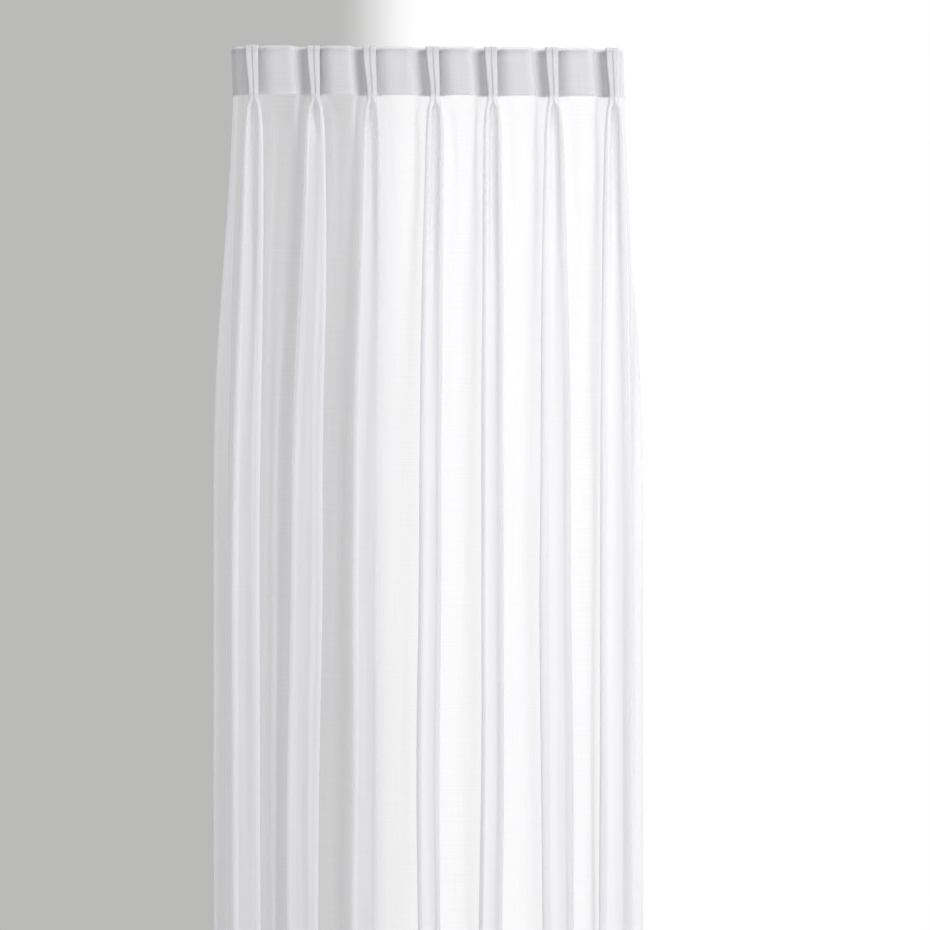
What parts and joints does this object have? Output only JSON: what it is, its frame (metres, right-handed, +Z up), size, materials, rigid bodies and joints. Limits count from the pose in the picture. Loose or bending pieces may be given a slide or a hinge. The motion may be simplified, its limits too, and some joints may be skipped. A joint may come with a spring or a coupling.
{
  "type": "sheer voile curtain",
  "caption": "Sheer white voile curtain panel with a pinch-pleated heading, hanging from its heading in soft vertical folds.",
  "frame": {"origin": "middle of the heading's top edge, from which the curtain hangs", "axes": "+Z up, +Y towards the window behind the curtain, +X to the right seen from the room"},
  "size_m": [0.7395, 0.0697, 2.5001],
  "materials": {
    "voile": "sheer plain-weave voile, matt",
    "heading_tape": "stiff translucent heading tape, matt"
  },
  "bodies": {
    "root": {"voile_panel": "voile", "heading_tape": "heading_tape"}
  },
  "joints": []
}
